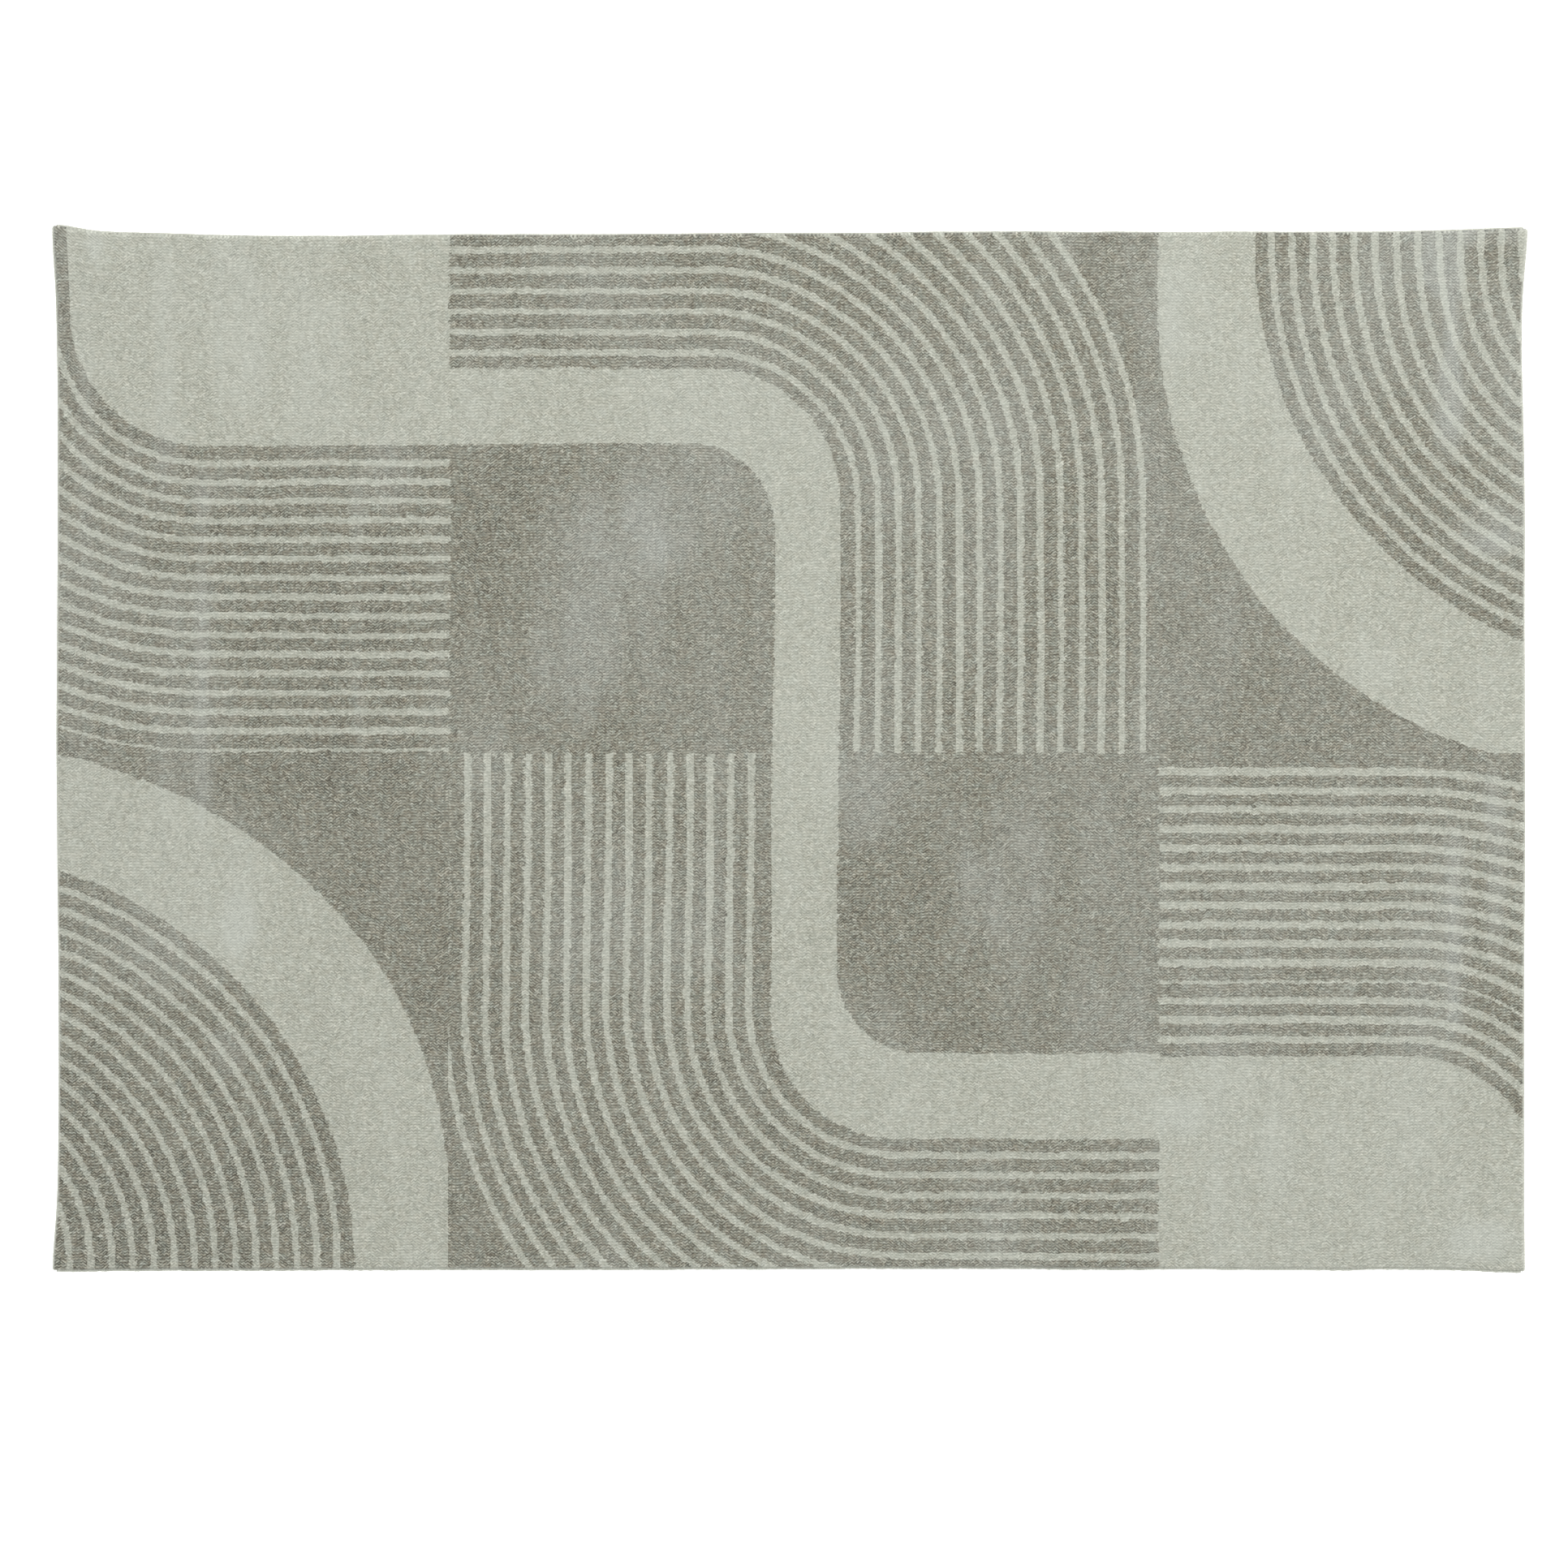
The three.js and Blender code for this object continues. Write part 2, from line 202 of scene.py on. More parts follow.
# ---------------------------------------------------------------- noise and shape helpers
NOISE_CELLS = 400  # before the noise repeats


def ease(t):
    return t * t * (3 - 2 * t)


def smooth_noise(x, y, size_x, size_y, seed):
    """Value noise from -1 to 1, with features of the given sizes."""
    u, v = x / size_x, y / size_y
    u0, v0 = np.floor(u).astype(int), np.floor(v).astype(int)
    grid = np.random.default_rng(seed).uniform(-1, 1, (NOISE_CELLS, NOISE_CELLS))
    i, j = u0 % NOISE_CELLS, v0 % NOISE_CELLS
    right, above = (u0 + 1) % NOISE_CELLS, (v0 + 1) % NOISE_CELLS
    s, t = ease(u - u0), ease(v - v0)
    low = grid[i, j] * (1 - s) + grid[right, j] * s
    high = grid[i, above] * (1 - s) + grid[right, above] * s
    return low * (1 - t) + high * t


def bumps(x, parts):
    """Sum of bell curves, each (place, spread, height)."""
    return sum(height * np.exp(-0.5 * ((x - place) / spread) ** 2) for place, spread, height in parts)


# How far each edge lies outside its straight line, as (place along it, spread, height)
TOP_EDGE = [(-850, 28, 9.5), (-770, 70, 2.5), (-560, 170, -1.2), (850, 70, 5.6), (450, 520, 4.2)]
BOTTOM_EDGE = [(-850, 120, 0.8), (850, 50, 2.6), (200, 500, -1.8)]
LEFT_EDGE = [(600, 40, 4), (300, 300, 1.4), (35, 90, 0.6), (-270, 130, -0.8), (-600, 45, 5)]
RIGHT_EDGE = [(600, 35, 4.5), (457, 60, -2), (288, 80, 0.6), (120, 400, 1), (-50, 130, 2), (-400, 120, 1.4)]
EDGE_REACH = 110
# Corners that lift off the floor, as (x, y, height)
CORNER_LIFTS = [(-1, 1, 7), (1, 1, 5), (-1, -1, 3.5), (1, -1, 6)]
CORNER_SPREAD = 75
# Faint fold creases, raised and each with a painted highlight along its ridge, as (x, lowest y, highest y,
# height)
CREASES = [(-681, -115, 345, 0.9), (-502, -60, 345, 0.6), (767, -350, -60, 0.9), (767, 345, 590, 0.9)]
CREASE_WIDTH = 7
CREASE_FADE = 60  # the length over which a crease dies away at its ends
DRIFT_X, DRIFT_Y, RIPPLE_Y = 0.8, 0.7, 0.35  # how far the cloth wanders in its own plane
WAVE_HEIGHT = 0.5  # of the gentle waves, up and down


def crease_share(y, low, high):
    """How much of a crease there is at y: all of it between its ends, and less towards them."""
    return ease(((y - low) / CREASE_FADE).clip(0, 1)) * ease(((high - y) / CREASE_FADE).clip(0, 1))


def laid(points):
    """Points of the flat, straight rug, moved to where the real, relaxed cloth lies."""
    x, y, z = points[:, 0], points[:, 1], points[:, 2]
    fade_left = np.exp(-(x + HALF_LENGTH).clip(0) / EDGE_REACH)
    fade_right = np.exp(-(HALF_LENGTH - x).clip(0) / EDGE_REACH)
    fade_top = np.exp(-(HALF_WIDTH - y).clip(0) / EDGE_REACH)
    fade_bottom = np.exp(-(y + HALF_WIDTH).clip(0) / EDGE_REACH)
    dx = bumps(y, RIGHT_EDGE) * fade_right - bumps(y, LEFT_EDGE) * fade_left
    dy = bumps(x, TOP_EDGE) * fade_top - bumps(x, BOTTOM_EDGE) * fade_bottom
    dx = dx + DRIFT_X * smooth_noise(x, y, 170, 130, 11)
    dy = dy + DRIFT_Y * smooth_noise(x, y, 90, 150, 12) + RIPPLE_Y * smooth_noise(x, y, 34, 60, 13)
    dz = WAVE_HEIGHT + WAVE_HEIGHT * smooth_noise(x, y, 160, 160, 14)
    for side_x, side_y, height in CORNER_LIFTS:
        away = np.hypot(x - side_x * HALF_LENGTH, y - side_y * HALF_WIDTH) / CORNER_SPREAD
        dz = dz + height * np.exp(-away * away)
    for place, low, high, height in CREASES:
        along = crease_share(y, low, high)
        dz = dz + height * along * np.exp(-(((x - place) / CREASE_WIDTH) ** 2))
    return np.column_stack([x + dx, y + dy, z + dz])


# ---------------------------------------------------------------- pattern
def corner_inside(x, y, edge_x, edge_y, radius):
    """True left of edge_x and below edge_y, with the corner between them rounded."""
    cx, cy = edge_x - radius, edge_y - radius
    rounded = (x > cx) & (y > cy) & (np.hypot(x - cx, y - cy) > radius)
    return (x < edge_x) & (y < edge_y) & ~rounded


def on_line(distance, first, pitch, width, count, thin=None):
    """True where a distance falls on one of evenly spaced lines. First is the middle of the first."""
    number = np.rint((distance - first) / pitch)
    wide = np.where(number == thin, THIN_LINE, width)
    return (np.abs(distance - first - number * pitch) < wide / 2) & (number >= 0) & (number < count)


def bend_distance(x, y, cx, cy):
    """Distance from a centre in the quarter where paths bend, and straight beyond it."""
    return np.where((x > cx) & (y > cy), np.hypot(x - cx, y - cy), np.where(x > cx, x - cx, y - cy))


def side_fields(x, y, half, fields):
    """The side column: the block's half with its rounded corner, and the lines that follow it."""
    corner_y = half["block_edge"] + CORNER_RADIUS
    past = bend_distance(-x, -y, -CORNER_X, -corner_y) - CORNER_RADIUS
    lines = np.where(on_line(past, **half["side"]), fields["side_lines"], fields["side_stripes"])
    return np.where(past <= 0, fields["block"], lines)


def centre_fields(x, y, half, fields):
    """The centre column: the square, the band round it, and the lines that bend round the band."""
    inner, outer = half["band_edges"]
    in_square = corner_inside(x, y, -BAND_HALF, inner, BAND_INNER_RADIUS)
    in_band = corner_inside(x, y, BAND_HALF, outer, BAND_OUTER_RADIUS)
    reach = bend_distance(x, y, *half["bend"]) - half["centre"]["width"] / 2
    lines = np.where(on_line(reach, **half["centre"]), fields["centre_lines"], fields["centre_stripes"])
    return np.where(in_square, fields["square"], np.where(in_band, BAND, lines))


def ring_fields(x, y, half, fields):
    """The ring column: the plain ground, the quarter ring, and the fan of lines inside it."""
    ring_x, ring_y, wide, high = half["ring"]
    oval = ((x - ring_x) / wide) ** 2 + ((y - ring_y) / high) ** 2 < 1
    in_ring = np.where(y < ring_y, oval, x > ring_x - wide)
    fan = half["fan"]
    radius = bend_distance(-x, -y, -fan["x"], -fan["y"])
    inward = fan["first"] - radius - fan["width"] / 2
    lines = on_line(inward, 0, fan["pitch"], fan["width"], fan["count"])
    in_fan = np.where(lines, fields["fan_lines"], fields["fan_stripes"])
    return np.where(radius < fan["ring"], in_fan, np.where(in_ring, fields["ring"], fields["ground"]))


def half_fields(x, y, half, fields):
    """The number of the field that each place of the upper half, or the turned lower half, is in."""
    side = side_fields(x, y, half, fields)
    centre = centre_fields(x, y, half, fields)
    ring = ring_fields(x, y, half, fields)
    return np.where(x < half["side_column"], side, np.where(x > half["column"], ring, centre))


def pattern(x, y):
    """The number of the field at each place, in millimetres from the pattern's centre."""
    shift_x, shift_y = 0, 0
    for place_x, place_y, spread_x, spread_y, dx, dy in STRAYS:
        near = np.exp(-(((x - place_x) / spread_x) ** 2) - ((y - place_y) / spread_y) ** 2)
        shift_x, shift_y = shift_x + dx * near, shift_y + dy * near
    upper = half_fields(x - shift_x, (y - shift_y) / PATTERN_STRETCH, UPPER, UPPER_FIELDS)
    lower = half_fields(shift_x - x, (shift_y - y) / PATTERN_STRETCH, LOWER, LOWER_FIELDS)
    return np.where(y > 0, upper, lower)


# ---------------------------------------------------------------- meshes
def new_object(name, points, faces, material, smooth=True):
    """A mesh object from points in millimetres and faces of point numbers."""
    mesh = bpy.data.meshes.new(name)
    faces = np.asarray(faces)
    mesh.vertices.add(len(points))
    mesh.vertices.foreach_set("co", (np.asarray(points) * MM).astype(np.float32).ravel())
    sides = faces.shape[1]
    mesh.loops.add(faces.size)
    mesh.loops.foreach_set("vertex_index", faces.astype(np.int32).ravel())
    mesh.polygons.add(len(faces))
    mesh.polygons.foreach_set("loop_start", np.arange(len(faces), dtype=np.int32) * sides)
    mesh.polygons.foreach_set("use_smooth", np.full(len(faces), smooth))
    mesh.update(calc_edges=True)
    mesh.validate()
    piece = bpy.data.objects.new(name, mesh)
    bpy.context.scene.collection.objects.link(piece)
    mesh.materials.append(material)
    return piece


def grid_faces(rows, columns, closed=False):
    """Quads of a grid of points numbered row by row. Closed joins each row's ends."""
    wide = columns if closed else columns - 1
    i, j = np.meshgrid(np.arange(rows - 1), np.arange(wide), indexing="ij")
    k = (j + 1) % columns
    quads = [i * columns + j, i * columns + k, (i + 1) * columns + k, (i + 1) * columns + j]
    return np.stack([q.ravel() for q in quads], axis=1)


def give_values(piece, name, values):
    """Stores one number for each point, for the materials to read."""
    layer = piece.data.attributes.new(name, "FLOAT", "POINT")
    layer.data.foreach_set("value", np.asarray(values, dtype=np.float32))


# ---------------------------------------------------------------- pile
PITCH_X = (PILE_RIGHT - PILE_LEFT) / COLUMNS
PITCH_Y = 2 * PILE_TOP / ROWS
CELLS_X, CELLS_Y = 2 * COLUMNS, 2 * ROWS
POINTS_Y = CELLS_Y + 1
MEETING_REACH = 2  # how far the grey pile's height eases off, in half tufts
EDGE_DROP = 1.2  # how much lower the outermost tufts stand
EDGE_BULGE = {"top": 2.2, "bottom": 0.7, "side": 1.6}
UNEVEN_SPLAY = 0.06  # how unevenly the outermost tufts spread, as a share of the bulge


def nap_sheen(x, y):
    """How much paler painted sheen the pile gets where its nap is brushed up, in patches and streaks; below
    0, where it is brushed flat, its painted groove shade is deeper instead.
    """
    wide = NAP_SHEEN_WIDE * smooth_noise(x, y, 120, 190, 21) + NAP_SHEEN_NARROW * smooth_noise(x, y, 45, 75, 22)
    streaks = NAP_SHEEN_STREAKS * smooth_noise(x, y, 17, 150, 23)
    value = NAP_SHEEN_MIDDLE + wide + streaks
    for place_x, place_y, spread_x, spread_y, strength in NAP_SHEEN_PATCHES:
        away = ((x - place_x) / spread_x) ** 2 + ((y - place_y) / spread_y) ** 2
        edge = 1 + 0.5 * smooth_noise(x, y, 26, 34, 24)
        value = value + strength * edge * np.exp(-away * away)
    # Painted highlight along each crease, where its ridge catches the light.
    for place, low, high, height in CREASES:
        along = crease_share(y, low, high)
        value = value + height * along * np.exp(-(((x - place) / (1.5 * CREASE_WIDTH)) ** 2))
    return value.clip(*NAP_SHEEN_RANGE)


def make_lattice():
    """Place, depth in the grooves (which sets their painted shade), colour tone and nap sheen of each
    lattice point, column by column.

    Ridges follow the rows where tufts stand straight. Where they lean, the points between two
    columns swap ridge and groove, so the ridges run aslant in whichever way the cells are split.
    """
    a, b = np.meshgrid(np.arange(CELLS_X + 1), np.arange(CELLS_Y + 1), indexing="ij")
    x = PILE_LEFT + a * PITCH_X / 2
    y = -PILE_TOP + b * PITCH_Y / 2
    rng = np.random.default_rng(5)
    lean = (LEAN + LEAN_SPREAD * smooth_noise(x, y, 1.6 * PITCH_X, 3 * PITCH_Y, 1)).clip(0, 1)
    straight = (b % 2).astype(float)
    between = straight + lean - 2 * straight * lean
    ridge = np.where(a % 2 == 1, straight, BETWEEN_RIDGE * between)
    ridge = ridge * rng.uniform(1 - RIDGE_JITTER, 1, x.shape) + GROOVE_JITTER * rng.uniform(0, 1, x.shape)
    inner_x = (a > 0) & (a < CELLS_X)
    inner_y = (b > 0) & (b < CELLS_Y)
    nap_sheen_value = nap_sheen(x, y)
    sway = SWAY * smooth_noise(x, y, 1.7 * PITCH_X, 5 * PITCH_Y, 3) * PITCH_Y
    jitter = PLACE_JITTER * rng.uniform(-1, 1, (2, *x.shape))
    x = x + jitter[0] * PITCH_X * inner_x
    y = y + (sway + jitter[1] * PITCH_Y) * inner_y
    drop = GROOVE * (1 - ridge) + HEIGHT_JITTER * rng.uniform(-1, 1, x.shape)
    return {
        "a": a.ravel(),
        "b": b.ravel(),
        "x": x.ravel(),
        "y": y.ravel(),
        "drop": drop.ravel(),
        "depth": (1 - ridge).clip(0, 1).ravel(),
        "tone": rng.uniform(0, 1, x.size),
        "nap_sheen": nap_sheen_value.ravel(),
    }


def rising_cells():
    """True for the cells whose ridge climbs to the right: leaning patches, and chevrons between."""
    i, j = np.meshgrid(np.arange(CELLS_X), np.arange(CELLS_Y), indexing="ij")
    leaning = 0.3 * smooth_noise(i, j, 34, 30, 7) + 0.6 * smooth_noise(i, j, 3, 6, 8)
    zigzag = np.where(i % 2 == 0, 1, -1) * np.sign(smooth_noise(i, j, 9, 14, 9))
    stray = np.random.default_rng(10).uniform(-1, 1, i.shape)
    return leaning + 0.6 * zigzag + 0.9 * stray > 0


def make_triangles():
    """Two triangles of point numbers for each lattice cell, split along the ridge."""
    i, j = np.meshgrid(np.arange(CELLS_X), np.arange(CELLS_Y), indexing="ij")
    p = (i * POINTS_Y + j).ravel()
    right, up, far = p + POINTS_Y, p + 1, p + POINTS_Y + 1
    split = rising_cells().ravel()
    first = np.column_stack([p, right, np.where(split, far, up)])
    second = np.column_stack([np.where(split, p, right), far, up])
    return np.concatenate([first, second])


def field_numbers(triangles, lattice):
    """The number of the field of each triangle, found near its own middle, drawn to its tuft's."""
    a, b = (lattice[key][triangles].mean(axis=1) for key in ("a", "b"))
    column, row = (a // 2).astype(int), (b // 2).astype(int)
    x = PILE_LEFT + (TUFT_PULL * (column + 0.5) + (1 - TUFT_PULL) * a / 2) * PITCH_X - PATTERN_X
    y = -PILE_TOP + (TUFT_PULL * (row + 0.5) + (1 - TUFT_PULL) * b / 2) * PITCH_Y
    stray = EDGE_JITTER * np.random.default_rng(6).uniform(-1, 1, (2, COLUMNS, ROWS))[:, column, row]
    stray_x = stray[0] + EDGE_WOBBLE * smooth_noise(x, y, 3 * PITCH_X, 2 * PITCH_Y, 16)
    stray_y = stray[1] + EDGE_WOBBLE * smooth_noise(x, y, 2.2 * PITCH_X, 5 * PITCH_Y, 17)
    return pattern(x + stray_x * PITCH_X, y + stray_y * PITCH_Y)


def blurred(values, reach):
    """A grid of values, each averaged with its neighbours as far as reach both ways."""
    wide = np.pad(values, reach, mode="edge")
    steps = range(2 * reach + 1)
    wide = sum(wide[k:k + values.shape[0]] for k in steps) / len(steps)
    return sum(wide[:, k:k + values.shape[1]] for k in steps) / len(steps)


def surface_heights(fields):
    """Height of the pile over each lattice point. The grey's extra height eases off by the sage."""
    grey = IS_GREY[fields].reshape(2, CELLS_X, CELLS_Y).mean(axis=0)
    around = np.pad(grey, 1, mode="edge")
    share = (around[:-1, :-1] + around[1:, :-1] + around[:-1, 1:] + around[1:, 1:]) / 4
    return (SAGE_TOP + (GREY_TOP - SAGE_TOP) * blurred(share, MEETING_REACH)).ravel()


def rim_of(triangles):
    """The edges that only one of a set of triangles has, as pairs of point numbers."""
    sides = [triangles[:, pair] for pair in ([0, 1], [1, 2], [2, 0])]
    edges = np.concatenate(sides).astype(np.int64)
    many = (CELLS_X + 1) * POINTS_Y
    key, turned = edges[:, 0] * many + edges[:, 1], edges[:, 1] * many + edges[:, 0]
    return edges[~np.isin(key, turned)]


def split_quads(quads):
    return np.concatenate([quads[:, [0, 1, 2]], quads[:, [0, 2, 3]]])


def field_piece(name, tops, lattice, material):
    """The pile of one field: its tufts' tops, and the sides that go down to the ground weave."""
    rim = rim_of(tops)
    used, numbers = np.unique(tops, return_inverse=True)
    on_rim, rim_index = np.unique(rim, return_inverse=True)
    points = np.concatenate([used, on_rim, on_rim, on_rim])
    part = {key: values[points] for key, values in lattice.items()}
    edge_x = (part["a"] == CELLS_X) * 1.0 - (part["a"] == 0)
    edge_y = (part["b"] == CELLS_Y) * 1.0 - (part["b"] == 0)
    outside = (edge_x != 0) | (edge_y != 0)
    x, y, z = part["x"], part["y"], part["top"] - part["drop"] - EDGE_DROP * outside
    starts = [len(used) + k * len(on_rim) for k in range(4)]
    middle, root = slice(starts[1], starts[2]), slice(starts[2], starts[3])
    splay = 1 - UNEVEN_SPLAY * (1 - part["tone"])
    bulge_y = np.where(edge_y > 0, EDGE_BULGE["top"], EDGE_BULGE["bottom"])
    x[middle] += (edge_x * EDGE_BULGE["side"] * splay)[middle]
    y[middle] += (edge_y * bulge_y * splay)[middle]
    z[middle] = ((z + WEAVE_TOP) / 2 + outside)[middle]
    z[root] = WEAVE_TOP
    ring = len(used) + rim_index.reshape(-1, 2)
    bands = [(ring, ring + len(on_rim)), (ring + len(on_rim), ring + 2 * len(on_rim))]
    walls = [np.column_stack([up[:, 1], up[:, 0], down[:, 0], down[:, 1]]) for up, down in bands]
    faces = np.concatenate([numbers.reshape(-1, 3), split_quads(np.concatenate(walls))])
    piece = new_object(name, laid(np.column_stack([x, y, z])), faces, material)
    for key in ("depth", "tone", "nap_sheen"):
        give_values(piece, key, part[key])
    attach(piece, "root")
    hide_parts(STANDS_FOR.get(name, name))
    return piece


def make_pile(materials):
    """All the pile, one piece for each field of the pattern."""
    lattice = make_lattice()
    triangles = make_triangles()
    fields = field_numbers(triangles, lattice)
    lattice["top"] = surface_heights(fields)
    pieces = []
    for number, name in enumerate(FIELDS):
        material = materials["grey" if IS_GREY[number] else "sage"]
        pieces.append(field_piece(name, triangles[fields == number], lattice, material))
    return pieces


# ---------------------------------------------------------------- edges and back
# ---------------------------------------------------------------- edges
FLOOR_GAP = 0.05  # the least height of an edge's yarn over the floor
BINDING_STEPS, BINDING_SIDES = 1080, 18
BINDING_END = 0.3  # from the binding's end to the rug's corner
BINDING_TAPER = 2  # the length of each narrowing end
BINDING_RADIUS, STITCH_HEIGHT, STITCH_PITCH, STITCH_SLANT = 2.9, 0.25, 3.4, 0.9
BINDING_INSET, BINDING_LEVEL = 3.1, 3.3  # its middle, from the rug's edge and from the floor

HEM_STEPS, HEM_END = 1140, 5
HEM_INSET = 1.6  # from the fold's middle to the rug's edge
HEM_FOLD_POINTS = 7
HEM_TAPE_OUT, HEM_TAPE_UP = [-20, -12, -5], [0.7, 0.65, 0.65]  # the part turned under the rug
HEM_LIP_OUT, HEM_LIP_UP = [-1.5], [4.2]  # the part that lies on the weave
HEM_RAGGED, HEM_FRAY = 0.5, 0.25  # how uneven the lip is over a few tufts, and at each step
HEM_LIP_SHARE = {"upper": 0.15, "lower": 0.7}  # how much of that each hem shows
HEM_THICKNESS = 0.5


def make_binding(side, name, material):
    """Overlocked short side: a thread-wrapped edge whose stitches slant round it."""
    end = HALF_WIDTH - BINDING_END
    along = np.linspace(-end, end, BINDING_STEPS)
    turn = np.linspace(0, 2 * np.pi, BINDING_SIDES, endpoint=False)
    s, t = np.meshgrid(along, turn, indexing="ij")
    taper = np.sqrt(((along[-1] - np.abs(s)) / BINDING_TAPER).clip(0.001, 1))
    stitch = np.abs(np.sin(np.pi * s / STITCH_PITCH + STITCH_SLANT * t))
    reach = (BINDING_RADIUS + STITCH_HEIGHT * stitch) * taper
    x = HALF_LENGTH - BINDING_INSET + reach * np.cos(t)
    z = BINDING_LEVEL + reach * np.sin(t)
    points = np.column_stack([side * x.ravel(), s.ravel(), z.ravel().clip(FLOOR_GAP)])
    faces = grid_faces(BINDING_STEPS, BINDING_SIDES, closed=True)
    if side < 0:
        faces = faces[:, ::-1]
    piece = new_object(name, laid(points), faces, material)
    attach(piece, "root")
    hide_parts(name)
    return piece


def make_hem(side, name, material):
    """Folded long side: the weave turned under, flat below and rounded outside."""
    reach = HALF_LENGTH - HEM_END
    along = np.linspace(-reach, reach, HEM_STEPS)
    rng = np.random.default_rng(31 if side > 0 else 32)
    fold = np.linspace(-np.pi / 2, np.pi / 2, HEM_FOLD_POINTS)
    out = np.concatenate([HEM_TAPE_OUT, 0.9 + 1.5 * np.cos(fold), HEM_LIP_OUT])
    up = np.concatenate([HEM_TAPE_UP, 2.7 + 1.9 * np.sin(fold), HEM_LIP_UP])
    s, k = np.meshgrid(along, np.arange(len(out)), indexing="ij")
    ragged = HEM_RAGGED * smooth_noise(s, s * 0, 6, 1, 33) + rng.uniform(-HEM_FRAY, HEM_FRAY, s.shape)
    lip = (k > len(HEM_TAPE_OUT)) * HEM_LIP_SHARE["upper" if side > 0 else "lower"]
    y = HALF_WIDTH - HEM_INSET + out[k] + ragged * lip
    z = up[k] + 0.3 * ragged * lip
    points = np.column_stack([s.ravel(), side * y.ravel(), z.ravel().clip(FLOOR_GAP)])
    faces = grid_faces(HEM_STEPS, len(out))
    if side > 0:
        faces = faces[:, ::-1]
    piece = new_object(name, laid(points), faces, material)
    thick = piece.modifiers.new("thickness", "SOLIDIFY")
    thick.thickness = HEM_THICKNESS * MM
    thick.offset = -1
    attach(piece, "root")
    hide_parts(name)
    return piece


# ---------------------------------------------------------------- ground weave and coat
WEAVE_GRID, COAT_GRID = (171, 241), (61, 721)
RIB_HEIGHT = 0.4  # of the coat over the roots, two rows to a rib
FILM_HEIGHT = 0.1  # of the coat's unevenness


def slab_points(low, high, nx, ny, wave):
    """Top and bottom grids of a thin sheet between two corners. Wave lifts the bottom's points."""
    x, y = np.meshgrid(np.linspace(low[0], high[0], nx), np.linspace(low[1], high[1], ny), indexing="ij")
    top = np.column_stack([x.ravel(), y.ravel(), np.full(x.size, high[2])])
    bottom = np.column_stack([x.ravel(), y.ravel(), low[2] + wave(x, y).ravel()])
    return top, bottom


def sheet_piece(name, low, high, nx, ny, wave, material):
    """A thin closed sheet with its edge joined all round."""
    top, bottom = slab_points(low, high, nx, ny, wave)
    faces = grid_faces(nx, ny)
    count = nx * ny
    index = np.arange(count).reshape(nx, ny)
    loop = np.concatenate([index[:-1, 0], index[-1, :-1], index[:0:-1, -1], index[0, :0:-1]])
    after = np.roll(loop, -1)
    walls = np.column_stack([loop, after, after + count, loop + count])
    quads = np.concatenate([faces, faces[:, ::-1] + count, walls[:, ::-1]])
    piece = new_object(name, laid(np.concatenate([top, bottom])), quads, material)
    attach(piece, "root")
    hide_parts(name)
    return piece


def make_weave(material):
    """The jute and cotton ground that the tufts are woven into."""
    def flat(x, y):
        return 0 * x

    piece = sheet_piece("jute_ground_weave", WEAVE_LOW, WEAVE_HIGH, *WEAVE_GRID, flat, material)
    return piece


def make_coat(material):
    """The film under the weave, with ribs over the rows of roots."""
    def ribs(x, y):
        rib = RIB_HEIGHT * (0.5 - 0.5 * np.cos(2 * np.pi * y / (2 * PITCH_Y)))
        return rib + FILM_HEIGHT * (0.5 + 0.5 * smooth_noise(x, y, 9, 5, 41))

    piece = sheet_piece("anti_slip_back_coat", COAT_LOW, COAT_HIGH, *COAT_GRID, ribs, material)
    return piece


# ---------------------------------------------------------------- materials
def nodes_of(name):
    """A new material, with its node tree and its shader."""
    material = bpy.data.materials.new(name)
    material.use_nodes = True
    tree = material.node_tree
    return material, tree, tree.nodes["Principled BSDF"]


def add_node(tree, kind, values=None, **settings):
    """A new node, with its inputs set to numbers or linked to other nodes' outputs."""
    node = tree.nodes.new(kind)
    for key, value in settings.items():
        setattr(node, key, value)
    for key, value in (values or {}).items():
        if isinstance(value, bpy.types.NodeSocket):
            tree.links.new(value, node.inputs[key])
        else:
            node.inputs[key].default_value = value
    return node


def math_node(tree, operation, *values):
    return add_node(tree, "ShaderNodeMath", dict(enumerate(values)), operation=operation).outputs[0]


def ramp_node(tree, value, stops):
    """A colour ramp through stops, each (place, colour)."""
    ramp = add_node(tree, "ShaderNodeValToRGB", {"Fac": value})
    points = ramp.color_ramp.elements
    while len(points) < len(stops):
        points.new(0.5)
    for point, (place, colour) in zip(points, stops):
        point.position = place
        point.color = (*colour, 1)
    return ramp.outputs["Color"]


def mix_colours(tree, fac, first, second, blend="MIX"):
    node = add_node(tree, "ShaderNodeMix", data_type="RGBA", blend_type=blend)
    sockets = [s for s in node.inputs if s.enabled]
    for socket, value in zip(sockets, (fac, first, second)):
        if isinstance(value, bpy.types.NodeSocket):
            tree.links.new(value, socket)
        else:
            socket.default_value = (*value, 1) if isinstance(value, tuple) else value
    return next(s for s in node.outputs if s.enabled)


def srgb(red, green, blue):
    """A colour given as it looks on a screen, from 0 to 255, as the shader's own numbers."""
    parts = [c / 255 for c in (red, green, blue)]
    return tuple(c / 12.92 if c <= 0.04045 else ((c + 0.055) / 1.055) ** 2.4 for c in parts)


